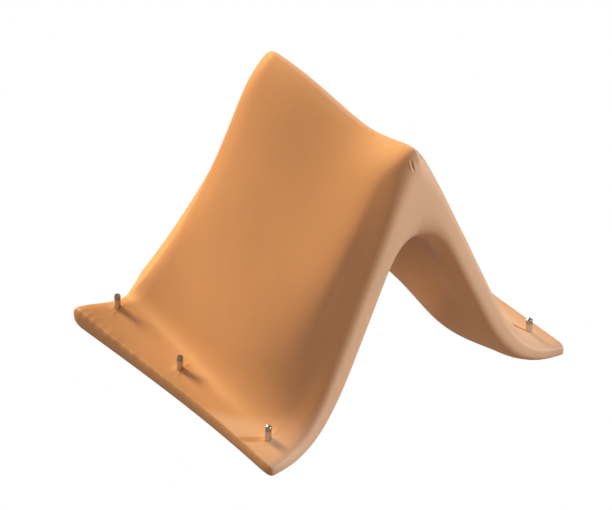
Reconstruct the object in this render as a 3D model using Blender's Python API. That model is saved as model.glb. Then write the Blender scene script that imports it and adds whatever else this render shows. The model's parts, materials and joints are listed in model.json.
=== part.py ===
"""A stretch tent: one thick fabric canopy over two leaning poles, pinned down by six steel pegs.

Metres, +Z up. X runs across the tent, the ridge lies along Y and the arched front faces -Y.
The ground is z = 0 and the origin is the middle of the floor.
"""

import math

import bmesh
import bpy
from mathutils import Matrix, Vector
from mathutils.bvhtree import BVHTree

# Driving dimensions of the canopy
WIDTH = 2.770
LENGTH = 2.499
PEAK_HEIGHT = 2.166

# Ridge: its sag between the peaks, and how much lower the front peak is
RIDGE_SAG = 0.096
RIDGE_LOW = 0.667
RIDGE_SHARP = 2.5
FRONT_DROP = 0.014
FRONT_DROP_FADE = 8

# Front and back edges: their lean and bow above the upright hems, and how far the hems' ends reach past them
FRONT_LEAN = 0.010
BACK_LEAN = 0.189
BACK_BOW = 0.126
UPRIGHT_HEM = 0.14
FRONT_EAR = 0.044
BACK_EAR = 0.131
FRONT_EAR_START = 0.5
BACK_EAR_START = 0.75

# Hems
CORNER_ROUND = 0.035
HEM_BOW = 0.037
HEM_BOW_SKEW = 0.7
HEM_BOW_SHARP = 1.5
FRONT_TUCK = 0.028
BACK_FLARE = 0.027
HEM_THICKNESS = 0.116
HEM_FRONT_RISE = -0.021
HEM_BACK_RISE = 0.045
HEM_RISE_POWER = 2.5
HEM_ROUND = 0.029
HEM_BOXY = 3.5

# Rounded rims at both ends, and the deeper roll of the front edge
RIM_DEPTH = 0.153
RIM_SHARE = 1.35
RIM_FLAT = 0.30
TOE_TIGHTENING = 0.3
TOE_REACH = 0.2
ROLL_DEPTH = 0.168
ROLL_SHARE = 2.5
ROLL_FADE = (0.72, 0.95)
CREST_TIGHTENING = 0.60
CREST_REACH = 0.3

# Inner face: the arch at either end, and the ceiling between them
ARCH_HEIGHT = 1.401
ARCH_CROWN = 0.244
ARCH_POINTED = 0.176
INNER_HEIGHT = 1.74
VALANCE_SHARE = 0.12

# Walls: how far they are pulled in, and how far they swell
WAIST = 0.136
WAIST_SKEW = 0.467
WAIST_SHARP = 3.64
WAIST_LOW = 1.457
BACK_WAIST = 0.029
BULGE = 0.126
BULGE_SKEW = 0.635
BULGE_TILT = -0.130
BULGE_SHARP = 0.585
BULGE_LOW = 1.420
FRONT_FULLNESS = 0.020
INNER_BULGE = 0.85
INNER_BULGE_END = 0.25
INNER_BULGE_LOW = 0.72

# Slopes of a section: crown, knee and flat are shares of the way down, steep and toe are slopes
OUTER_SLOPES = {"crown": 0.186, "knee": 0.770, "flat": 0.865, "steep": 0.90, "toe": 0.098}
INNER_SLOPES = {"crown": 0.330, "knee": 0.447, "flat": 0.95, "steep": 0.741, "toe": 0.0}
KNEE_SOFTENING = 0.150
FLAT_SOFTENING = 0.141

# Room between pieces that touch
GAP = 0.0003

# Cuts between the panels of the canopy
HEM_TOP = 0.30
SHOULDER = 1.36
FRONT_BAND = 0.36
BACK_BAND = 0.35

# Pegs
PEGS = {"front": (1.172, -1.001), "middle": (1.186, 0.087), "back": (1.145, 0.973)}
PEG_PROUD = 0.11
PEG_RADIUS = 0.024
PEG_HEAD = 0.036
PEG_DISH = 0.007
PEG_HOLE = PEG_RADIUS + GAP

# Poles, each from a ball on its foot plate to a ball under the canopy
POLE_FEET = {"front": 0.0, "back": 0.27}
HEAD_INSET = 0.46
FOOT_RADIUS = 0.11
FOOT_THICKNESS = 0.012
FOOT_BALL = 0.045
POLE_RADIUS = 0.030
POLE_UPPER_RADIUS = 0.024
POLE_JOIN = 0.52
COLLAR_RADIUS = 0.038
COLLAR_LENGTH = 0.09
HEAD_BALL = 0.065
HEAD_SOCKET = 0.034
HEAD_LENGTH = 0.075

# Mesh fineness
GIRTH_STEPS = 22
LENGTH_STEPS = 16
END_FINENESS = 0.6
RIM_STEPS = 4
HEM_STEPS = 6
EVENING_PASSES = 1
ROUND_STEPS = 24


def smooth(a, b, x):
    """0 up to a, 1 from b on, an even S between them."""
    f = min(max((x - a) / (b - a), 0.0), 1.0)
    return f * f * (3 - 2 * f)


def drape(apex, bottom, reach, crown, knee, flat, steep, toe, pointed=1.0):
    """Half a section, as (across, height) from the ridge to the hem.

    The slope rises over the crown, holds down the wall and falls from the knee to the flat toe, and the
    curve is then scaled to fit. The crown is a round arch at pointed 0 and a peaked ridge at pointed 1.
    """
    fine = 12
    run, drop = [0.0], [0.0]
    for i in range(GIRTH_STEPS * fine):
        q = (i + 0.5) / (GIRTH_STEPS * fine)
        slope = steep * smooth(-crown * pointed, crown, q) + (toe - steep) * smooth(knee, flat, q)
        run.append(run[-1] + math.cos(slope))
        drop.append(drop[-1] + math.sin(slope))
    return [
        (reach * run[k * fine] / run[-1], apex - (apex - bottom) * drop[k * fine] / drop[-1])
        for k in range(GIRTH_STEPS + 1)
    ]


def corner_inset(across, narrowing):
    """How far the round corner of the hem cuts back at this distance from the middle."""
    past = abs(across) - (WIDTH / 2 - narrowing - CORNER_ROUND)
    past = min(max(past, 0.0), CORNER_ROUND)
    return CORNER_ROUND - math.sqrt(CORNER_ROUND**2 - past**2)


def ends(height, across):
    """Y of the front and the back edge at this height and this far from the middle."""
    share = abs(across) / (WIDTH / 2)
    front_ear = FRONT_EAR * (1 - smooth(FRONT_EAR_START, 1, share))
    back_ear = BACK_EAR * (1 - smooth(BACK_EAR_START, 1, share))
    leaning = max(height - UPRIGHT_HEM, 0)
    bow = BACK_BOW * math.sin(math.pi * min(leaning / (PEAK_HEIGHT - UPRIGHT_HEM), 1))
    front = -LENGTH / 2 + front_ear + FRONT_LEAN * height
    back = LENGTH / 2 - back_ear - BACK_LEAN * leaning - bow
    return front + corner_inset(across, FRONT_TUCK + BACK_FLARE), back - corner_inset(across, 0.0)


def boxy(x):
    """Makes a sine or cosine into that of a rounded box."""
    return math.copysign(abs(x) ** (2 / HEM_BOXY), x)


def bulge(t, down):
    """How far the outer face swells at share t of the length and this share of the way down."""
    skew = BULGE_SKEW * (1 + BULGE_TILT * (down - 0.5))
    return BULGE * abs(math.sin(math.pi * t**skew)) ** BULGE_SHARP


def section(t):
    """The ring of a section at share t of the length: (x, z) of each point and of its thickness's middle."""
    half = WIDTH / 2 - HEM_ROUND - HEM_BOW * math.sin(math.pi * t**HEM_BOW_SKEW) ** HEM_BOW_SHARP
    half -= BACK_FLARE * (1 - t**4) + FRONT_TUCK * (1 - t) ** 4
    apex = PEAK_HEIGHT - RIDGE_SAG * math.sin(math.pi * t**RIDGE_LOW) ** RIDGE_SHARP
    apex -= FRONT_DROP * (1 - t) ** FRONT_DROP_FADE
    valance = 1 - smooth(0, VALANCE_SHARE, min(t, 1 - t))
    inner_apex = INNER_HEIGHT + (ARCH_HEIGHT - INNER_HEIGHT) * valance
    rise = HEM_FRONT_RISE if t < 0.5 else HEM_BACK_RISE
    hem_height = HEM_THICKNESS + rise * abs(2 * t - 1) ** HEM_RISE_POWER
    # Towards the front the wall runs out into the toe more and more softly.
    slopes = dict(OUTER_SLOPES)
    slopes["knee"] -= KNEE_SOFTENING * (1 - t) ** 2
    slopes["flat"] += FLAT_SOFTENING * (1 - t) ** 2
    outer = drape(apex, hem_height, half, **slopes)
    arch = dict(INNER_SLOPES)
    arch["crown"] += (ARCH_CROWN - arch["crown"]) * valance
    inner = drape(inner_apex, 0.0, half, **arch, pointed=1 - (1 - ARCH_POINTED) * valance)
    # Both faces bulge between the two ends, the inner one only high up: low down, the stretch pulls it
    # in just behind the front. The back edge is pulled in on both faces.
    back_pull = BACK_WAIST * t**4
    waist = WAIST * math.sin(math.pi * t**WAIST_SKEW) ** WAIST_SHARP + back_pull
    inner_bulge = INNER_BULGE * smooth(0, INNER_BULGE_END, min(t, 1 - t))
    fullness = FRONT_FULLNESS * (1 - t) ** 3 - back_pull
    for k in range(GIRTH_STEPS + 1):
        down = k / GIRTH_STEPS
        swell = bulge(t, down)
        out = (swell + fullness) * math.sin(math.pi * down**BULGE_LOW)
        inside = inner_bulge * swell * math.sin(math.pi * min(down / INNER_BULGE_LOW, 1)) ** 2
        inside -= waist * math.sin(math.pi * down**WAIST_LOW)
        outer[k] = (outer[k][0] + out, outer[k][1])
        inner[k] = (inner[k][0] + inside, inner[k][1])
    middle = [((ox + ix) / 2, (oz + iz) / 2) for (ox, oz), (ix, iz) in zip(outer, inner)]
    edge_x, edge_z = middle[-1]
    turns = [math.pi * k / HEM_STEPS for k in range(1, HEM_STEPS)]
    tall = hem_height / 2
    hem = [(edge_x + HEM_ROUND * boxy(math.sin(a)), edge_z + tall * boxy(math.cos(a))) for a in turns]
    points = outer + hem + inner[::-1]
    middles = middle + [middle[-1]] * len(hem) + middle[::-1]
    ring = list(zip(points, middles))
    # The left half mirrors the right one, and the two points on the middle plane aren't repeated.
    left = [((-p[0], p[1]), (-m[0], m[1])) for p, m in reversed(ring[1:-1])]
    return ring + left


def edge_depths(k, count, half):
    """How deep the front edge's roll and the back edge's rim are at a ring's point.

    The roll is deep on the wall, and less so at the crest and inside. The rim is tighter at the hem.
    """
    down = min(k, count - k) / GIRTH_STEPS
    past_hem = down - 1 - HEM_STEPS / GIRTH_STEPS
    toe = smooth(1 - TOE_REACH, 1, down) * (1 - smooth(0, TOE_REACH, past_hem))
    rim = min(RIM_DEPTH, RIM_SHARE * half) * (1 - TOE_TIGHTENING * toe)
    deep = max(min(ROLL_DEPTH, ROLL_SHARE * half) - rim, 0)
    crest = 1 - smooth(0, CREST_REACH, down)
    roll = (rim + deep * (1 - smooth(*ROLL_FADE, down))) * (1 - CREST_TIGHTENING * crest)
    return roll, rim


def evened(rings):
    """The rings with each drawn towards its neighbours, which softens the crease where a rim ends."""
    last = len(rings) - 1
    result = [rings[0]]
    for i in range(1, last):
        weight = smooth(0.3, 1.3, min(i, last - i) / RIM_STEPS) / 2
        result.append([
            tuple((1 - weight) * b + weight * (a + c) / 2 for a, b, c in zip(*points))
            for points in zip(rings[i - 1], rings[i], rings[i + 1])
        ])
    return result + [rings[last]]


def share_along(k):
    """Share of the length at station k, with the stations closer together towards both ends."""
    even = k / LENGTH_STEPS
    return (1 - END_FINENESS) * even + END_FINENESS * (1 - math.cos(math.pi * even)) / 2


def canopy_mesh():
    """The whole canopy as one closed mesh: rings along the ridge, with rounded rims at both ends."""
    # Each station is (share of the length, turn round the rim), a full quarter turn away from the rims.
    quarter = math.pi / 2
    turns = [quarter * k / RIM_STEPS for k in range(RIM_STEPS)]
    stations = [(0.0, turn) for turn in turns]
    stations += [(share_along(k), quarter) for k in range(LENGTH_STEPS + 1)]
    stations += [(1.0, turn) for turn in reversed(turns)]

    places = []
    for t, turn in stations:
        shrink = RIM_FLAT + (1 - RIM_FLAT) * math.sin(turn)
        inset = 1 - math.cos(turn)
        around = section(t)
        ring = []
        for k, ((x, z), (mx, mz)) in enumerate(around):
            roll, rim = edge_depths(k, len(around), math.hypot(x - mx, z - mz))
            front, back = ends(z, x)
            x = mx + (x - mx) * shrink
            z = mz + (z - mz) * shrink
            y = front + roll * inset + (back - front - (roll + rim) * inset) * t
            ring.append((x, y, z))
        places.append(ring)
    for _ in range(EVENING_PASSES):
        places = evened(places)

    mesh = bmesh.new()
    rings = [[mesh.verts.new(place) for place in ring] for ring in places]
    count = len(rings[0])
    for a, b in zip(rings, rings[1:]):
        for i in range(count):
            j = (i + 1) % count
            mesh.faces.new((a[i], a[j], b[j], b[i]))
    for ring, turned in ((rings[0], True), (rings[-1], False)):
        close_end(mesh, ring, turned)
    bmesh.ops.recalc_face_normals(mesh, faces=mesh.faces)
    return mesh


def close_end(mesh, ring, turned):
    """Bridges the outer half of an end ring to its inner half across the thickness."""
    reach = GIRTH_STEPS
    inner_start = GIRTH_STEPS + HEM_STEPS
    count = len(ring)
    for side in (1, -1):
        def at(k):
            return ring[(side * k) % count]
        for k in range(reach):
            corners = [at(k), at(k + 1), at(inner_start + reach - k - 1), at(inner_start + reach - k)]
            mesh.faces.new(corners if turned else corners[::-1])
        mesh.faces.new([at(k) for k in range(reach, inner_start + 1)])


def material(name, colour, roughness, metallic):
    made = bpy.data.materials.new(name)
    made.use_nodes = True
    shader = made.node_tree.nodes["Principled BSDF"]
    shader.inputs["Base Color"].default_value = (*colour, 1)
    shader.inputs["Roughness"].default_value = roughness
    shader.inputs["Metallic"].default_value = metallic
    return made


def add_object(name, mesh, finish, rounded=True):
    data = bpy.data.meshes.new(name)
    mesh.to_mesh(data)
    mesh.free()
    for face in data.polygons:
        face.use_smooth = rounded
    data.materials.append(finish)
    made = bpy.data.objects.new(name, data)
    bpy.context.scene.collection.objects.link(made)
    return made


def hidden(cutter):
    cutter.hide_render = True
    cutter.display_type = "WIRE"
    return cutter


def cut(target, name, cutter, operation):
    step = target.modifiers.new(name, "BOOLEAN")
    step.operation = operation
    step.object = cutter


def peg_places():
    """(side, name, x, y) of each peg: three along either hem, the middle one a little further out."""
    for side, sign in (("left", -1), ("right", 1)):
        for place, (x, y) in PEGS.items():
            yield side, f"{side}_{place}", sign * x, y


def make_canopy():
    """The canopy's panels, each cut from the whole shape, so that they meet with a small gap."""
    whole = canopy_mesh()
    far = WIDTH
    top = PEAK_HEIGHT + 0.5
    front = -LENGTH / 2 + FRONT_BAND
    back = LENGTH / 2 - BACK_BAND
    gap = GAP / 2
    low, high = HEM_TOP + gap, SHOULDER - gap
    cap = SHOULDER + gap
    f0, f1 = -far, front - gap
    m0, m1 = front + gap, back - gap
    b0, b1 = back + gap, far
    lean = BACK_LEAN
    bands = {"front": (f0, f1, (0, 0)), "middle": (m0, m1, (0, lean)), "back": (b0, b1, (lean, lean))}
    panels = []
    for band, (y0, y1, leans) in bands.items():
        for place, x0, x1, z0, z1 in (
            ("peak", -far, far, cap, top),
            ("left", -far, 0, low, high),
            ("right", 0, far, low, high),
        ):
            panels.append((f"canopy_{band}_{place}", (x0, y0, z0), (x1, y1, z1), leans))
    panels.append(("canopy_left_hem", (-far, -far, -1), (0, far, HEM_TOP - gap), (0, 0)))
    panels.append(("canopy_right_hem", (0, -far, -1), (far, far, HEM_TOP - gap), (0, 0)))
    made = {}
    for name, low_corner, high_corner, leans in panels:
        panel = add_object(name, whole.copy(), CLOTH)
        cutter = sheared_box(name + "_cutter", low_corner, high_corner, leans)
        cut(panel, "panel", cutter, "INTERSECT")
        made[name] = panel
    whole.free()
    return made


def sheared_box(name, low, high, leans):
    """A box whose two Y faces each lean back with height by their own share."""
    mesh = bmesh.new()
    bmesh.ops.create_cube(mesh, size=1)
    for vert in mesh.verts:
        corner = [low[i] if vert.co[i] < 0 else high[i] for i in range(3)]
        corner[1] -= leans[0 if vert.co.y < 0 else 1] * corner[2]
        vert.co = corner
    return hidden(add_object(name, mesh, CLOTH, False))


def turned(name, outline, finish, place, tilt=None):
    """A solid spun about its own Z from an outline of (radius, height) points, closed on the axis."""
    mesh = bmesh.new()
    verts = [mesh.verts.new((r, 0, z)) for r, z in outline]
    edges = [mesh.edges.new(pair) for pair in zip(verts, verts[1:])]
    bmesh.ops.spin(
        mesh, geom=verts + edges, axis=(0, 0, 1), cent=(0, 0, 0), angle=2 * math.pi, steps=ROUND_STEPS
    )
    bmesh.ops.remove_doubles(mesh, verts=mesh.verts, dist=1e-5)
    bmesh.ops.recalc_face_normals(mesh, faces=mesh.faces)
    made = add_object(name, mesh, finish)
    made.matrix_world = Matrix.Translation(place) @ (tilt or Matrix())
    return made


def make_pegs(hems, skin):
    for side, place, x, y in peg_places():
        fabric = skin.ray_cast(Vector((x, y, PEAK_HEIGHT)), Vector((0, 0, -1)))[0].z
        neck = fabric + PEG_PROUD - PEG_HEAD
        shaft = [(0, 0), (PEG_RADIUS, 0), (PEG_RADIUS, neck - GAP), (0, neck - GAP)]
        turned(f"peg_{place}_shaft", shaft, STEEL, (x, y, 0))
        chamfer = PEG_RADIUS * 0.2
        head = [
            (0, 0),
            (PEG_RADIUS, 0),
            (PEG_RADIUS, PEG_HEAD - chamfer),
            (PEG_RADIUS - chamfer, PEG_HEAD),
            (PEG_RADIUS * 0.55, PEG_HEAD - PEG_DISH),
            (0, PEG_HEAD - PEG_DISH),
        ]
        turned(f"peg_{place}_head", head, STEEL, (x, y, neck))
        hole = turned(f"hole_{place}", [(0, -1), (PEG_HOLE, -1), (PEG_HOLE, 1), (0, 1)], CLOTH, (x, y, 0))
        cut(hems[f"canopy_{side}_hem"], f"hole_{place}", hidden(hole), "DIFFERENCE")


def arc(radius, start, end, steps=6):
    """(radius, height) points of a ball's outline between two angles above its middle."""
    angles = [start + (end - start) * k / steps for k in range(steps + 1)]
    return [(radius * math.cos(a), radius * math.sin(a)) for a in angles]


def head_place(end, skin):
    """Middle of a pole's head ball: raised until the ball all but touches the canopy's inside."""
    height = INNER_HEIGHT - 2 * HEAD_BALL
    front, back = ends(height, 0)
    y = front + HEAD_INSET if end == "front" else back - HEAD_INSET
    for _ in range(40):
        place = Vector((0, y, height))
        height += (skin.find_nearest(place)[3] - HEAD_BALL - GAP) / 2
    return place


def make_pole(end, foot_y, skin):
    """One leaning pole: a foot plate with a ball, two tubes with a collar between them, and a round head."""
    foot = Vector((0, foot_y, FOOT_THICKNESS))
    head = head_place(end, skin)
    axis = head - foot
    tilt = axis.to_track_quat("Z", "Y").to_matrix().to_4x4()
    plate = [(0, -FOOT_THICKNESS), (FOOT_RADIUS, -FOOT_THICKNESS), (FOOT_RADIUS, 0)]
    ball = arc(FOOT_BALL, 0, math.pi / 2)[:-1]
    turned(f"{end}_pole_foot", plate + ball + [(0, FOOT_BALL)], POLE, foot)

    join = axis.length * POLE_JOIN
    stretches = (
        ("lower_tube", POLE_RADIUS, FOOT_BALL + GAP, join, POLE),
        ("collar", COLLAR_RADIUS, join + GAP, join + COLLAR_LENGTH, PLASTIC),
        ("upper_tube", POLE_UPPER_RADIUS, join + COLLAR_LENGTH + GAP, axis.length - HEAD_LENGTH - GAP, POLE),
    )
    for name, radius, start, stop, finish in stretches:
        outline = [(0, start), (radius, start), (radius, stop), (0, stop)]
        turned(f"{end}_pole_{name}", outline, finish, foot, tilt)
    socket = [(0, -HEAD_LENGTH), (HEAD_SOCKET, -HEAD_LENGTH)]
    ball = arc(HEAD_BALL, -math.pi / 6, math.pi / 2, 8)[:-1]
    turned(f"{end}_pole_head", socket + ball + [(0, HEAD_BALL)], PLASTIC, head, tilt)


for old in list(bpy.data.objects):
    bpy.data.objects.remove(old)

CLOTH = material("canopy_fabric", (0.56, 0.27, 0.11), 0.62, 0.0)
STEEL = material("peg_steel", (0.62, 0.60, 0.57), 0.28, 1.0)
POLE = material("pole_aluminium", (0.55, 0.55, 0.56), 0.38, 1.0)
PLASTIC = material("pole_cap", (0.05, 0.05, 0.05), 0.6, 0.0)

skin = BVHTree.FromBMesh(canopy_mesh())
make_pegs(make_canopy(), skin)
for end, foot_y in POLE_FEET.items():
    make_pole(end, foot_y, skin)
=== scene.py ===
"""Looks of the stretch tent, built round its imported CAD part.

Metres, +Z up. X runs across the tent, the ridge lies along Y and the arched front faces -Y.
"""

import json
import math

import bmesh
import bpy
import numpy as np
from mathutils import Matrix, Vector


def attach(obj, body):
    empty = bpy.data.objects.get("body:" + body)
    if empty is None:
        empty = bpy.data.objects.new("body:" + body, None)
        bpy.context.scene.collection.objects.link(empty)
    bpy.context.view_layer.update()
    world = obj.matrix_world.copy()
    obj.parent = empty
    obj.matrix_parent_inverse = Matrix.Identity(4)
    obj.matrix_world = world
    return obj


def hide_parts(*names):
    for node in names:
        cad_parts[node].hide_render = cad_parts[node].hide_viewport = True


# The canopy and the pegs have the dimensions of the part. The fuller walls, the deeper rims, the lower arch
# and the rounder corners and hems are the cloth's own, centimetres at most from the part's plain solids.

# Driving dimensions of the canopy
WIDTH = 2.770
LENGTH = 2.499
PEAK_HEIGHT = 2.166

# Ridge: its sag between the peaks, and how much lower the front peak is
RIDGE_SAG = 0.096
RIDGE_LOW = 0.667
RIDGE_SHARP = 2.5
FRONT_DROP = 0.014
FRONT_DROP_FADE = 8

# Front and back edges: their lean and bow, the height of the upright hems, and how far the hems' ends reach
FRONT_LEAN = 0.010
BACK_LEAN = 0.189
BACK_BOW = 0.126
UPRIGHT_HEM = 0.14
FRONT_EAR = 0.044
BACK_EAR = 0.131
FRONT_EAR_START = 0.5
BACK_EAR_START = 0.75

# Hems
CORNER_ROUND = 0.050
HEM_BOW = 0.037
HEM_BOW_SKEW = 0.7
HEM_BOW_SHARP = 1.5
FRONT_TUCK = 0.028
BACK_FLARE = 0.027
HEM_THICKNESS = 0.116
HEM_FRONT_RISE = -0.021
HEM_BACK_RISE = 0.045
HEM_RISE_POWER = 2.5
HEM_ROUND = 0.029
HEM_BOXY = 2.7

# Rounded rims at both ends, with their flat shares outside and inside, and the front edge's deeper roll
RIM_DEPTH = 0.153
RIM_SHARE = 1.35
RIM_FLAT = 0.30
INNER_FLAT = 0.15
TOE_TIGHTENING = 0.3
TOE_REACH = 0.2
ROLL_DEPTH = 0.190
ROLL_SHARE = 2.5
ROLL_FADE = (0.5, 0.8)
CREST_TIGHTENING = 0.60
CREST_REACH = 0.15

# Inner face: the arch at either end, and the ceiling between them
ARCH_HEIGHT = 1.385
ARCH_CROWN = 0.244
ARCH_POINTED = 0.176
INNER_HEIGHT = 1.74
VALANCE_SHARE = 0.12

# Walls: how far they are pulled in, and how far they swell, over a shorter stretch from the knee down
WAIST = 0.136
WAIST_SKEW = 0.467
WAIST_SHARP = 3.64
WAIST_LOW = 1.457
BACK_WAIST = 0.029
FRONT_WAIST = 0.015
BULGE = 0.138
BULGE_SKEW = 0.635
BULGE_TILT = -0.130
BULGE_SHARP = 0.585
BULGE_LOW = 1.420
KNEE_SHARP = 1.0
KNEE_SPAN = (0.4, 0.8)
FRONT_FULLNESS = 0.020
INNER_BULGE = 0.85
INNER_BULGE_END = 0.25
INNER_BULGE_LOW = 0.72

# Slopes of a section: crown, knee and flat are shares of the way down, steep and toe are slopes
OUTER_SLOPES = {"crown": 0.186, "knee": 0.770, "flat": 0.865, "steep": 0.90, "toe": 0.098}
INNER_SLOPES = {"crown": 0.330, "knee": 0.447, "flat": 0.95, "steep": 0.741, "toe": 0.0}
KNEE_SOFTENING = 0.150
FLAT_SOFTENING = 0.141

# Pegs: their places on the right hem, mirrored on the left, and the round cutter of their holes
PEGS = {"front": (1.172, -1.001), "middle": (1.186, 0.087), "back": (1.145, 0.973)}
PEG_HOLE = 0.0243
CUTTER_HEIGHT = 0.1
CUTTER_DEPTH = 0.6
CUTTER_SEGMENTS = 32

# Mesh fineness of the cloth
GIRTH_STEPS = 84
LENGTH_STEPS = 150
END_FINENESS = 0.6
RIM_STEPS = 10
HEM_STEPS = 12

# Evening out of the rings: its passes, and where it begins and is full, in depths of the rim
SOFTEN_PASSES = 50
SOFTEN_RIM = (0.3, 1.3)

# How far up a surface looks, counted from the first value on and in full from the second on
TOP_FACING = (0.4, 0.8)
CREST_FACING = (0.1, 0.3)
UPPER_SIDE = 0.5

# Cloth round the pegs: the reach and height of its finer mesh, and its low mounds
PEG_REACH = 0.16
PEG_FINE_BELOW = 0.3
PEG_RELIEF_BELOW = 0.35
PEG_MOUND = 0.007
PEG_MOUND_SPREAD = 0.05

# Folds round a peg: their height, how far out they begin and are full, and how they fade.
# Each set of folds has its count, its turn from peg to peg and its share.
PEG_PUCKER = 0.0006
PUCKER_START = (0.02, 0.05)
PUCKER_SPREAD = 0.045
PUCKER_FOLDS = ((5, 1.0, 1.0), (8, 2.1, 0.6))

# Gathers along the hems' crests: their depth, and how far from the middle they begin and are full.
# Each wave of the gathers has its length, its unevenness, the pace of that and its share.
GATHER_DEPTH = 0.0016
GATHER_START = (1.29, 1.34)
GATHERED_BELOW = 0.25
GATHER_WAVES = ((0.23, 1.7, 3.1, 0.8), (0.091, 2.4, 5.3, 0.6))

# Each pinch at the front peak: its place, half its width, half its length, its depth and its slant
PINCHES = (
    ((-0.048, -1.141, 2.048), 0.006, 0.022, 0.010, 0.30),
    ((0.027, -1.137, 2.084), 0.008, 0.009, 0.012, 0.0),
)

# Pinches: the reach of their finer mesh, how far they go in along the tent, and the direction across them
PINCH_REACH = 0.08
PINCH_ALONG = 0.12
PINCH_ACROSS = (0.82, -0.57)

# Raised lips beside a pinch, as shares of its depth, its half width and its half length
LIP_HEIGHT = 0.25
LIP_PLACE = 2.4
LIP_WIDTH = 1.2
LIP_LENGTH = 1.3

# Noise in the materials stays mostly within this span
NOISE_SPAN = (0.3, 0.7)

# Cloth: its colour and roughness, the spacing of its ribs, and the scales of its mottling and ripples
CLOTH_COLOUR = (0.62, 0.35, 0.185)
CLOTH_ROUGHNESS = (0.52, 0.66)
RIB = 0.008
MOTTLE_SCALE = 2.2
GRAIN_SCALE = 40.0
RIPPLE_SCALE = 14.0

# Pegs and poles: the colours of their steel, aluminium and plastic. The peg heads' steel is a darker copy
# of the same steel, a painted dark reflection on their tops
PEG_COLOUR = (0.66, 0.65, 0.63)
PEG_HEAD_PAINTED_SHADE_COLOUR = (0.42, 0.40, 0.38)
POLE_COLOUR = (0.58, 0.58, 0.59)
PLASTIC_COLOUR = (0.045, 0.045, 0.047)

# Metals: the span of their roughness, the scale of their grain along Z, and the depth of its relief
PEG_FINISH = {"low": 0.12, "high": 0.30, "grain_scale": 900, "bump": 0.0004}
PEG_HEAD_FINISH = {"low": 0.12, "high": 0.28, "grain_scale": 900, "bump": 0.0004}
POLE_FINISH = {"low": 0.28, "high": 0.48, "grain_scale": 4, "bump": 0.0003}

# Faint soil together with painted shade, darkening the lowest part and the hems' outer sides: its amount at
# the two ends of a range, and the range
SOIL_AND_SHADE_COLOUR = (0.20, 0.13, 0.075)
LOW_SOIL_AND_SHADE = (0.1, 0.0, 0.0, 0.125)
HEM_SOIL_AND_SHADE = (0.0, 0.5, 1.15, 1.32)

# Even fill light, and two far lights: name, azimuth, elevation, strength, colour and spread
FILL_COLOUR = (1.0, 0.77, 0.62)
FILL_STRENGTH = 0.45
KEY = ("key", -174, 20.5, 5.4, (1.0, 0.67, 0.30), 18)
FRONT = ("front", 40, 32, 4.6, (0.53, 0.69, 0.90), 6)

# Stage: half the floor's side, its depth below the hems, and the backdrop's radius
FLOOR_SIZE = 60
FLOOR_GAP = 0.004
BACKDROP_RADIUS = 90

# Camera, fitted to the photograph: azimuth and elevation in degrees, lens and sensor in mm, the rest in m
VIEW_AZIMUTH = -35.712
VIEW_ELEVATION = 32.253
VIEW_DISTANCE = 25.910
VIEW_RIGHT = 0.1089
VIEW_UP = -0.6163
VIEW_Y = -0.0091
LENS = 205.88
SENSOR_WIDTH = 36
CLIP_END = 300


def smooth(a, b, x):
    """0 up to a, 1 from b on, an even S between them."""
    f = np.clip((x - a) / (b - a), 0, 1)
    return f * f * (3 - 2 * f)


def drape(apex, bottom, reach, crown, knee, flat, steep, toe, pointed=1.0):
    """Half a section from the ridge to the hem, as rows of (across, height)."""
    fine = 3
    count = GIRTH_STEPS * fine
    q = (np.arange(count) + 0.5) / count
    slope = steep * smooth(-crown * pointed, crown, q) + (toe - steep) * smooth(knee, flat, q)
    run = np.append(0, np.cumsum(np.cos(slope)))[::fine]
    drop = np.append(0, np.cumsum(np.sin(slope)))[::fine]
    return np.stack([reach * run / run[-1], apex - (apex - bottom) * drop / drop[-1]], axis=1)


def corner_inset(across, narrowing):
    """How far the round corner of the hem cuts back at these distances from the middle."""
    past = np.clip(np.abs(across) - (WIDTH / 2 - narrowing - CORNER_ROUND), 0, CORNER_ROUND)
    return CORNER_ROUND - np.sqrt(CORNER_ROUND**2 - past**2)


def ends(height, across):
    """Y of the front and the back edge at these heights and distances from the middle."""
    share = np.abs(across) / (WIDTH / 2)
    front_ear = FRONT_EAR * (1 - smooth(FRONT_EAR_START, 1, share))
    back_ear = BACK_EAR * (1 - smooth(BACK_EAR_START, 1, share))
    leaning = np.maximum(height - UPRIGHT_HEM, 0)
    bow = BACK_BOW * np.sin(math.pi * np.minimum(leaning / (PEAK_HEIGHT - UPRIGHT_HEM), 1))
    front = -LENGTH / 2 + front_ear + FRONT_LEAN * height
    back = LENGTH / 2 - back_ear - BACK_LEAN * leaning - bow
    return front + corner_inset(across, FRONT_TUCK + BACK_FLARE), back - corner_inset(across, 0.0)


def boxy(x):
    """Makes sines or cosines into those of a rounded box."""
    return np.copysign(np.abs(x) ** (2 / HEM_BOXY), x)


def bulge(t, down):
    """How far the outer face swells at share t of the length and these shares of the way down."""
    skew = BULGE_SKEW * (1 + BULGE_TILT * (down - 0.5))
    sharp = BULGE_SHARP + KNEE_SHARP * smooth(*KNEE_SPAN, down)
    return BULGE * np.abs(np.sin(math.pi * t**skew)) ** sharp


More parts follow.
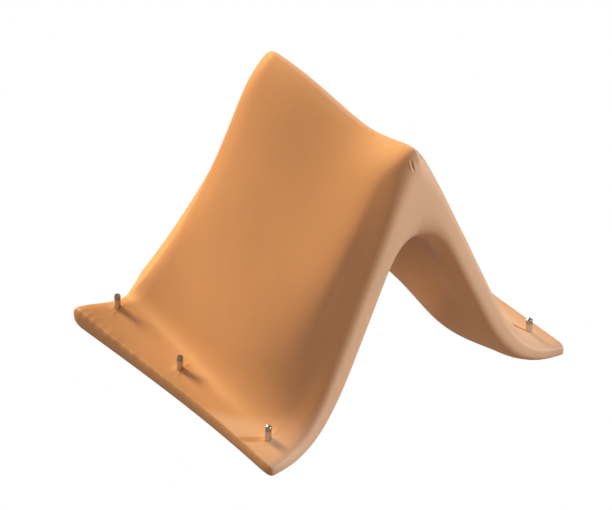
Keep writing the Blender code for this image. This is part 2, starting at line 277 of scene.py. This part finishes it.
def profiles(t):
    """The outer and the inner half section at share t of the length, and the hem's height there."""
    half = WIDTH / 2 - HEM_ROUND - HEM_BOW * math.sin(math.pi * t**HEM_BOW_SKEW) ** HEM_BOW_SHARP
    half -= BACK_FLARE * (1 - t**4) + FRONT_TUCK * (1 - t) ** 4
    apex = PEAK_HEIGHT - RIDGE_SAG * math.sin(math.pi * t**RIDGE_LOW) ** RIDGE_SHARP
    apex -= FRONT_DROP * (1 - t) ** FRONT_DROP_FADE
    valance = 1 - smooth(0, VALANCE_SHARE, min(t, 1 - t))
    inner_apex = INNER_HEIGHT + (ARCH_HEIGHT - INNER_HEIGHT) * valance
    rise = HEM_FRONT_RISE if t < 0.5 else HEM_BACK_RISE
    hem_height = HEM_THICKNESS + rise * abs(2 * t - 1) ** HEM_RISE_POWER
    slopes = dict(OUTER_SLOPES)
    slopes["knee"] -= KNEE_SOFTENING * (1 - t) ** 2
    slopes["flat"] += FLAT_SOFTENING * (1 - t) ** 2
    outer = drape(apex, hem_height, half, **slopes)
    inside = dict(INNER_SLOPES)
    inside["crown"] += (ARCH_CROWN - inside["crown"]) * valance
    inner = drape(inner_apex, 0.0, half, **inside, pointed=1 - (1 - ARCH_POINTED) * valance)
    back_pull = BACK_WAIST * t**4
    waist = WAIST * math.sin(math.pi * t**WAIST_SKEW) ** WAIST_SHARP
    waist += back_pull + FRONT_WAIST * (1 - t) ** 6
    fullness = FRONT_FULLNESS * (1 - t) ** 3 - back_pull
    down = np.linspace(0, 1, GIRTH_STEPS + 1)
    swell = bulge(t, down)
    inner_bulge = INNER_BULGE * smooth(0, INNER_BULGE_END, min(t, 1 - t))
    outer[:, 0] += (swell + fullness) * np.sin(math.pi * down**BULGE_LOW)
    inner[:, 0] += inner_bulge * swell * np.sin(math.pi * np.minimum(down / INNER_BULGE_LOW, 1)) ** 2
    inner[:, 0] -= waist * np.sin(math.pi * down**WAIST_LOW)
    return outer, inner, hem_height


def section(t):
    """The ring of a section at share t of the length, and the middle of the thickness at each point."""
    outer, inner, hem_height = profiles(t)
    middle = (outer + inner) / 2
    turn = math.pi * np.arange(1, HEM_STEPS) / HEM_STEPS
    edge = middle[-1]
    hem = np.stack(
        [edge[0] + HEM_ROUND * boxy(np.sin(turn)), edge[1] + hem_height / 2 * boxy(np.cos(turn))],
        axis=1,
    )
    points = np.concatenate([outer, hem, inner[::-1]])
    middles = np.concatenate([middle, np.repeat(edge[None], HEM_STEPS - 1, axis=0), middle[::-1]])
    flip = np.array([-1, 1])
    return (
        np.concatenate([points, points[1:-1][::-1] * flip]),
        np.concatenate([middles, middles[1:-1][::-1] * flip]),
    )


def share_along(k):
    """Share of the length at station k, with the stations closer together towards both ends."""
    even = k / LENGTH_STEPS
    return (1 - END_FINENESS) * even + END_FINENESS * (1 - math.cos(math.pi * even)) / 2


def soften(grid):
    """Evens out the rings along the length, so that the rims run into the walls without a crease."""
    rows = np.arange(1, len(grid) - 1)
    weight = smooth(*SOFTEN_RIM, np.minimum(rows, len(grid) - 1 - rows) / RIM_STEPS)[:, None, None]
    for _ in range(SOFTEN_PASSES):
        even = (grid[:-2] + grid[2:]) / 2
        grid[1:-1] += weight * (even - grid[1:-1]) / 2
    return grid


def ring(t, turn):
    """One ring of the cloth at share t of the length; turn is 0 at the edge and a quarter past its rim."""
    points, middles = section(t)
    half = np.hypot(*(points - middles).T)
    around = np.arange(len(points))
    down = np.minimum(around, len(points) - around) / GIRTH_STEPS
    past_hem = down - 1 - HEM_STEPS / GIRTH_STEPS
    toe = smooth(1 - TOE_REACH, 1, down) * (1 - smooth(0, TOE_REACH, past_hem))
    rim = np.minimum(RIM_DEPTH, RIM_SHARE * half) * (1 - TOE_TIGHTENING * toe)
    deeper = np.maximum(np.minimum(ROLL_DEPTH, ROLL_SHARE * half) - rim, 0)
    roll = rim + deeper * (1 - smooth(*ROLL_FADE, down))
    roll *= 1 - CREST_TIGHTENING * (1 - smooth(0, CREST_REACH, down))
    flat = np.where(past_hem < 0, RIM_FLAT, INNER_FLAT)[:, None]
    shrunk = middles + (points - middles) * (flat + (1 - flat) * math.sin(turn))
    front, back = ends(points[:, 1], shrunk[:, 0])
    inset = 1 - math.cos(turn)
    y = front + roll * inset + (back - front - (roll + rim) * inset) * t
    return np.stack([shrunk[:, 0], y, shrunk[:, 1]], axis=1)


def canopy_grid():
    """All rings of the cloth, from the front edge to the back edge."""
    quarter = math.pi / 2
    turns = [quarter * k / RIM_STEPS for k in range(RIM_STEPS)]
    stations = [(0.0, turn) for turn in turns]
    stations += [(share_along(k), quarter) for k in range(LENGTH_STEPS + 1)]
    stations += [(1.0, turn) for turn in reversed(turns)]
    return soften(np.array([ring(t, turn) for t, turn in stations]))


def end_faces(edge_ring, way):
    """Faces that close one end of the cloth, between its outer and its inner line and over its hems."""
    faces = []
    start = GIRTH_STEPS + HEM_STEPS
    for side in (1, -1):
        around = np.roll(edge_ring[::side], side == -1).tolist()
        for k in range(GIRTH_STEPS):
            across = start + GIRTH_STEPS - k
            corners = [around[i] for i in (k, k + 1, across - 1, across)]
            faces.append(corners[:: -side * way])
        faces.append(around[GIRTH_STEPS : start + 1][:: -side * way])
    return faces


def canopy_faces(rows, count):
    """Faces between neighbouring rings, and those that close both ends."""
    index = np.arange(rows * count).reshape(rows, count)
    a, b = index[:-1], index[1:]
    faces = np.stack([a, np.roll(a, -1, 1), np.roll(b, -1, 1), b], axis=-1).reshape(-1, 4).tolist()
    return faces + end_faces(index[0], -1) + end_faces(index[-1], 1)


def build_cloth():
    """The canopy's cloth as an object in the scene."""
    grid = canopy_grid()
    data = bpy.data.meshes.new("canopy_cloth")
    data.from_pydata(grid.reshape(-1, 3).tolist(), [], canopy_faces(*grid.shape[:2]))
    cloth = bpy.data.objects.new("canopy_cloth", data)
    bpy.context.scene.collection.objects.link(cloth)
    refine(data)
    sculpt(data)
    data.shade_smooth()
    return cloth


def coordinates(data, what="vertices"):
    """The places or the normals of a mesh's points, one row each."""
    rows = np.empty(len(data.vertices) * 3)
    if what == "vertices":
        data.vertices.foreach_get("co", rows)
    else:
        data.vertex_normals.foreach_get("vector", rows)
    return rows.reshape(-1, 3)


def peg_points():
    """X and y of all six pegs."""
    return [(sign * x, y) for sign in (-1, 1) for x, y in PEGS.values()]


def by_peg(vert):
    """Whether a point lies on top of the hem near a peg."""
    away = min(math.hypot(vert.co.x - x, vert.co.y - y) for x, y in peg_points())
    return away < PEG_REACH and vert.co.z < PEG_FINE_BELOW and vert.normal.z > UPPER_SIDE


def by_pinch(vert):
    """Whether a point lies near a pinch."""
    return min((vert.co - Vector(place)).length for place, *_ in PINCHES) < PINCH_REACH


def refine(data):
    """Divides the cloth more finely round the pegs and at the pinched peak."""
    mesh = bmesh.new()
    mesh.from_mesh(data)
    bmesh.ops.recalc_face_normals(mesh, faces=mesh.faces)
    for chosen, cuts in ((by_peg, 2), (by_pinch, 6)):
        near = {vert for vert in mesh.verts if chosen(vert)}
        edges = [edge for edge in mesh.edges if edge.verts[0] in near and edge.verts[1] in near]
        bmesh.ops.subdivide_edges(mesh, edges=edges, cuts=cuts, use_grid_fill=True)
    mesh.to_mesh(data)
    mesh.free()


def peg_relief(x, y):
    """Height of the mounds and folds round the pegs."""
    height = np.zeros(len(x))
    for count, (px, py) in enumerate(peg_points()):
        away = np.hypot(x - px, y - py)
        around = np.arctan2(y - py, x - px)
        folds = sum(share * np.sin(n * around + turn * count) for n, turn, share in PUCKER_FOLDS)
        fading = np.exp(-(((away - PUCKER_START[1]) / PUCKER_SPREAD) ** 2))
        height += PEG_MOUND * np.exp(-((away / PEG_MOUND_SPREAD) ** 2))
        height += PEG_PUCKER * folds * smooth(*PUCKER_START, away) * fading
    return height


def pinch_relief(x, y, z):
    """Depth of the slits at the front peak and height of the lips beside them."""
    height = np.zeros(len(x))
    for (px, py, pz), wide, tall, deep, slant in PINCHES:
        up = z - pz
        across = (x - px) * PINCH_ACROSS[0] + (y - py) * PINCH_ACROSS[1] + slant * up
        slit = np.exp(-((across / wide) ** 2) - (up / tall) ** 2)
        beside = (np.abs(across) - LIP_PLACE * wide) / (LIP_WIDTH * wide)
        lips = np.exp(-(beside**2) - (up / (LIP_LENGTH * tall)) ** 2)
        height += (np.abs(y - py) < PINCH_ALONG) * deep * (LIP_HEIGHT * lips - slit)
    return height


def gather_relief(x, y):
    """Depth of the gathers along the hems, uneven waves laid over each other."""
    height = -np.ones(len(x))
    for length, uneven, pace, share in GATHER_WAVES:
        height += share * np.sin(2 * math.pi * y / length + uneven * np.sin(pace * y) + x)
    return GATHER_DEPTH * height


def sculpt(data):
    """Moves the points along their normals: mounds at the pegs, pinches at the peak and gathered hems."""
    points = coordinates(data)
    normals = coordinates(data, "normals")
    x, y, z = points.T
    upward = normals[:, 2]
    on_top = smooth(*TOP_FACING, upward) * (z < PEG_RELIEF_BELOW)
    crest = smooth(*CREST_FACING, upward) * smooth(*GATHER_START, np.abs(x)) * (z < GATHERED_BELOW)
    move = on_top * peg_relief(x, y) + pinch_relief(x, y, z) + crest * gather_relief(x, y)
    moved = points + normals * move[:, None]
    moved[:, 2] = np.maximum(moved[:, 2], 0.0)
    data.vertices.foreach_set("co", moved.ravel())
    data.update()


def cut_peg_holes(cloth):
    """Opens the hems where the pegs pass through."""
    mesh = bmesh.new()
    for x, y in peg_points():
        bmesh.ops.create_cone(
            mesh,
            cap_ends=True,
            segments=CUTTER_SEGMENTS,
            radius1=PEG_HOLE,
            radius2=PEG_HOLE,
            depth=CUTTER_DEPTH,
            matrix=Matrix.Translation((x, y, CUTTER_HEIGHT)),
        )
    data = bpy.data.meshes.new("holes")
    mesh.to_mesh(data)
    mesh.free()
    cutter = bpy.data.objects.new("holes", data)
    bpy.context.scene.collection.objects.link(cutter)
    step = cloth.modifiers.new("holes", "BOOLEAN")
    step.operation = "DIFFERENCE"
    step.object = cutter
    bpy.context.view_layer.update()
    graph = bpy.context.evaluated_depsgraph_get()
    result = bpy.data.meshes.new_from_object(cloth.evaluated_get(graph))
    cloth.modifiers.clear()
    cloth.data = result
    cloth.data.name = "canopy_cloth"
    bpy.data.objects.remove(cutter)
    cloth.data.shade_smooth()


class Nodes:
    """A material's nodes, added and linked in one call each."""

    def __init__(self, name):
        self.material = bpy.data.materials.new(name)
        self.material.use_nodes = True
        self.tree = self.material.node_tree
        self.shader = self.tree.nodes["Principled BSDF"]

    def add(self, kind, inputs=(), **settings):
        node = self.tree.nodes.new(kind)
        for key, value in settings.items():
            setattr(node, key, value)
        for key, value in dict(inputs).items():
            if isinstance(value, bpy.types.NodeSocket):
                self.tree.links.new(value, node.inputs[key])
            else:
                node.inputs[key].default_value = value
        return node

    def math(self, operation, *values):
        return self.add("ShaderNodeMath", dict(enumerate(values)), operation=operation).outputs[0]

    def noise(self, vector, scale, detail=3.0):
        inputs = {"Vector": vector, "Scale": scale, "Detail": detail}
        return self.add("ShaderNodeTexNoise", inputs).outputs[0]

    def ramp(self, value, low, high, start=0.0, end=1.0):
        inputs = {"Value": value, "From Min": start, "From Max": end, "To Min": low, "To Max": high}
        return self.add("ShaderNodeMapRange", inputs).outputs[0]

    def set(self, **values):
        for key, value in values.items():
            socket = self.shader.inputs[key.replace("_", " ")]
            if isinstance(value, bpy.types.NodeSocket):
                self.tree.links.new(value, socket)
            else:
                socket.default_value = value


def cloth_material():
    """Satin stretch knit: fine ribs, slight mottling, lower and outer edges darkened with faint soil and
    painted shade, and a soft sheen.
    """
    nodes = Nodes("canopy_cloth")
    place = nodes.add("ShaderNodeTexCoord").outputs["Object"]
    split = nodes.add("ShaderNodeSeparateXYZ", {0: place})
    mottle = nodes.noise(place, MOTTLE_SCALE)
    fine = nodes.noise(place, GRAIN_SCALE, 5.0)
    slow_shade = nodes.ramp(mottle, -0.025, 0.025, *NOISE_SPAN)
    shade = nodes.math("ADD", slow_shade, nodes.ramp(fine, -0.015, 0.015, *NOISE_SPAN))
    hue = nodes.add(
        "ShaderNodeHueSaturation",
        {"Color": (*CLOTH_COLOUR, 1), "Value": nodes.math("ADD", shade, 1.0)},
    )
    # Faint soil mixed with painted shade: the lowest part and the hems' outer sides are darkened in the
    # colour itself
    low = nodes.ramp(split.outputs["Z"], *LOW_SOIL_AND_SHADE)
    sideways = nodes.math("ABSOLUTE", split.outputs["X"])
    outer = nodes.ramp(sideways, *HEM_SOIL_AND_SHADE)
    soil_and_shade = nodes.math("MULTIPLY", nodes.math("ADD", low, outer), mottle)
    mixed = nodes.add("ShaderNodeMix", data_type="RGBA")
    nodes.tree.links.new(soil_and_shade, mixed.inputs[0])
    nodes.tree.links.new(hue.outputs[0], mixed.inputs[6])
    mixed.inputs[7].default_value = (*SOIL_AND_SHADE_COLOUR, 1)
    ribs_along = nodes.math("SINE", nodes.math("MULTIPLY", split.outputs["Y"], 2 * math.pi / RIB))
    rise = nodes.math("ADD", split.outputs["Z"], nodes.math("MULTIPLY", sideways, 0.7))
    ribs_across = nodes.math("SINE", nodes.math("MULTIPLY", rise, 2 * math.pi / RIB))
    weave = nodes.math("MULTIPLY", ribs_along, ribs_across)
    knit = nodes.add("ShaderNodeBump", {"Strength": 0.25, "Distance": 0.0006, "Height": weave})
    ripples = nodes.noise(place, RIPPLE_SCALE, 4.0)
    relief = nodes.add(
        "ShaderNodeBump",
        {"Strength": 0.35, "Distance": 0.002, "Height": ripples, "Normal": knit.outputs[0]},
    )
    roughness = nodes.ramp(fine, *CLOTH_ROUGHNESS, *NOISE_SPAN)
    nodes.set(Base_Color=mixed.outputs[2], Roughness=roughness, Normal=relief.outputs[0])
    nodes.shader.inputs["Sheen Weight"].default_value = 0.05
    nodes.shader.inputs["Sheen Roughness"].default_value = 0.45
    nodes.shader.inputs["Specular IOR Level"].default_value = 0.35
    nodes.shader.inputs["Subsurface Weight"].default_value = 0.12
    nodes.shader.inputs["Subsurface Radius"].default_value = (1.0, 0.45, 0.2)
    nodes.shader.inputs["Subsurface Scale"].default_value = 0.03
    return nodes.material


def metal_material(name, colour, low, high, grain_scale, bump):
    """Bare metal with a fine grain and a roughness that varies from low to high."""
    nodes = Nodes(name)
    place = nodes.add("ShaderNodeTexCoord").outputs["Object"]
    stretch = {"Vector": place, "Scale": (60, 60, grain_scale)}
    stretched = nodes.add("ShaderNodeMapping", stretch).outputs[0]
    grain = nodes.noise(stretched, 4.0, 6.0)
    blotch = nodes.noise(place, 18.0, 3.0)
    mixed = nodes.math("ADD", nodes.math("MULTIPLY", grain, 0.6), nodes.math("MULTIPLY", blotch, 0.4))
    tone = nodes.ramp(blotch, 0.86, 1.08, *NOISE_SPAN)
    hue = nodes.add("ShaderNodeHueSaturation", {"Color": (*colour, 1), "Value": tone})
    relief = nodes.add("ShaderNodeBump", {"Strength": 0.3, "Distance": bump, "Height": grain})
    roughness = nodes.ramp(mixed, low, high, *NOISE_SPAN)
    nodes.set(Base_Color=hue.outputs[0], Roughness=roughness, Normal=relief.outputs[0])
    nodes.shader.inputs["Metallic"].default_value = 1.0
    return nodes.material


def plastic_material():
    """Moulded matt plastic with a fine texture."""
    nodes = Nodes("pole_plastic")
    place = nodes.add("ShaderNodeTexCoord").outputs["Object"]
    grain = nodes.noise(place, 350.0, 3.0)
    worn = nodes.noise(place, 25.0, 4.0)
    tone = nodes.ramp(worn, 0.8, 1.4)
    hue = nodes.add("ShaderNodeHueSaturation", {"Color": (*PLASTIC_COLOUR, 1), "Value": tone})
    relief = nodes.add("ShaderNodeBump", {"Strength": 0.3, "Distance": 0.0005, "Height": grain})
    roughness = nodes.ramp(worn, 0.45, 0.65, *NOISE_SPAN)
    nodes.set(Base_Color=hue.outputs[0], Roughness=roughness, Normal=relief.outputs[0])
    return nodes.material


def direction(azimuth, elevation):
    """Unit vector from the tent towards this azimuth and elevation, in degrees; azimuth 0 is the front."""
    a, e = math.radians(azimuth), math.radians(elevation)
    return Vector((math.sin(a) * math.cos(e), -math.cos(a) * math.cos(e), math.sin(e)))


def add_sun(name, azimuth, elevation, strength, colour, spread):
    """A far light, its angles in degrees."""
    light = bpy.data.lights.new(name, "SUN")
    light.energy = strength
    light.color = colour
    light.angle = math.radians(spread)
    lamp = bpy.data.objects.new(name, light)
    bpy.context.scene.collection.objects.link(lamp)
    lamp.rotation_euler = direction(azimuth, elevation).to_track_quat("Z", "Y").to_euler()


def add_camera():
    """The photograph's camera."""
    back = direction(VIEW_AZIMUTH, VIEW_ELEVATION)
    right = (-back).cross(Vector((0, 0, 1))).normalized()
    up = right.cross(-back)
    data = bpy.data.cameras.new("camera")
    data.sensor_width = SENSOR_WIDTH
    data.lens = LENS
    data.clip_end = CLIP_END
    data.dof.use_dof = False
    camera = bpy.data.objects.new("camera", data)
    bpy.context.scene.collection.objects.link(camera)
    turn = Matrix((right, up, back)).transposed().to_4x4()
    place = back * VIEW_DISTANCE - right * VIEW_RIGHT - up * VIEW_UP + Vector((0, VIEW_Y, 0))
    camera.matrix_world = Matrix.Translation(place) @ turn
    bpy.context.scene.camera = camera


def white_material():
    """Plain white that shines by itself, so that floor and backdrop show no shade."""
    material = bpy.data.materials.new("plain_white")
    material.use_nodes = True
    tree = material.node_tree
    tree.nodes.clear()
    glow = tree.nodes.new("ShaderNodeEmission")
    glow.inputs["Color"].default_value = (1, 1, 1, 1)
    output = tree.nodes.new("ShaderNodeOutputMaterial")
    tree.links.new(glow.outputs[0], output.inputs["Surface"])
    return material


def add_stage_piece(name, mesh, material, height=0.0):
    """A piece of the stage that only the camera sees."""
    data = bpy.data.meshes.new(name)
    mesh.to_mesh(data)
    mesh.free()
    data.materials.append(material)
    made = bpy.data.objects.new(name, data)
    made.location.z = height
    bpy.context.scene.collection.objects.link(made)
    made.visible_diffuse = False
    made.visible_glossy = False
    made.visible_transmission = False
    made.visible_volume_scatter = False
    made.visible_shadow = False


def add_stage():
    """A plain white floor and backdrop, and a dim even fill light."""
    white = white_material()
    floor = bmesh.new()
    bmesh.ops.create_grid(floor, x_segments=1, y_segments=1, size=FLOOR_SIZE)
    add_stage_piece("floor", floor, white, -FLOOR_GAP)
    backdrop = bmesh.new()
    bmesh.ops.create_uvsphere(backdrop, u_segments=32, v_segments=16, radius=BACKDROP_RADIUS)
    add_stage_piece("backdrop", backdrop, white)
    world = bpy.data.worlds.new("fill")
    world.use_nodes = True
    bpy.context.scene.world = world
    background = world.node_tree.nodes["Background"]
    background.inputs["Color"].default_value = (*FILL_COLOUR, 1)
    background.inputs["Strength"].default_value = FILL_STRENGTH


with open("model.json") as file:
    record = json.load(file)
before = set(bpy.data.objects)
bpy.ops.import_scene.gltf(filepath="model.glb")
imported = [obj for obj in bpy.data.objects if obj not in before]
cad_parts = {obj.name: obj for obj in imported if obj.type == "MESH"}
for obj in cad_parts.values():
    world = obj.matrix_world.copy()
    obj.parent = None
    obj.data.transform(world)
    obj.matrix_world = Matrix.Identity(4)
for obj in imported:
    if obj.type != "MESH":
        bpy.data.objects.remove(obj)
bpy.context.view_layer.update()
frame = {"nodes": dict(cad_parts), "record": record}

cloth = build_cloth()
cut_peg_holes(cloth)
cloth.data.materials.clear()
cloth.data.materials.append(cloth_material())
panels = [name for name in frame["nodes"] if name.startswith("canopy_")]
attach(cloth, "root")
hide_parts(*panels)

finishes = {
    "peg_steel": metal_material("peg_steel", PEG_COLOUR, **PEG_FINISH),
    "pole_aluminium": metal_material("pole_aluminium", POLE_COLOUR, **POLE_FINISH),
    "pole_cap": plastic_material(),
}
# The peg heads get a darker copy of the peg steel: a painted dark reflection on their tops
peg_head_painted_shade_steel = metal_material("peg_head_painted_shade_steel", PEG_HEAD_PAINTED_SHADE_COLOUR, **PEG_HEAD_FINISH)
for row in frame["record"]["subparts"]:
    name = row["node"]
    if row["material_slot"] in finishes:
        on_peg_head = name.startswith("peg") and name.endswith("head")
        finish = peg_head_painted_shade_steel if on_peg_head else finishes[row["material_slot"]]
        slots = frame["nodes"][name].data.materials
        slots.clear()
        slots.append(finish)

add_stage()
add_sun(*KEY)
add_sun(*FRONT)
add_camera()
bpy.context.scene.view_settings.view_transform = "Standard"
bpy.context.scene.view_settings.look = "None"
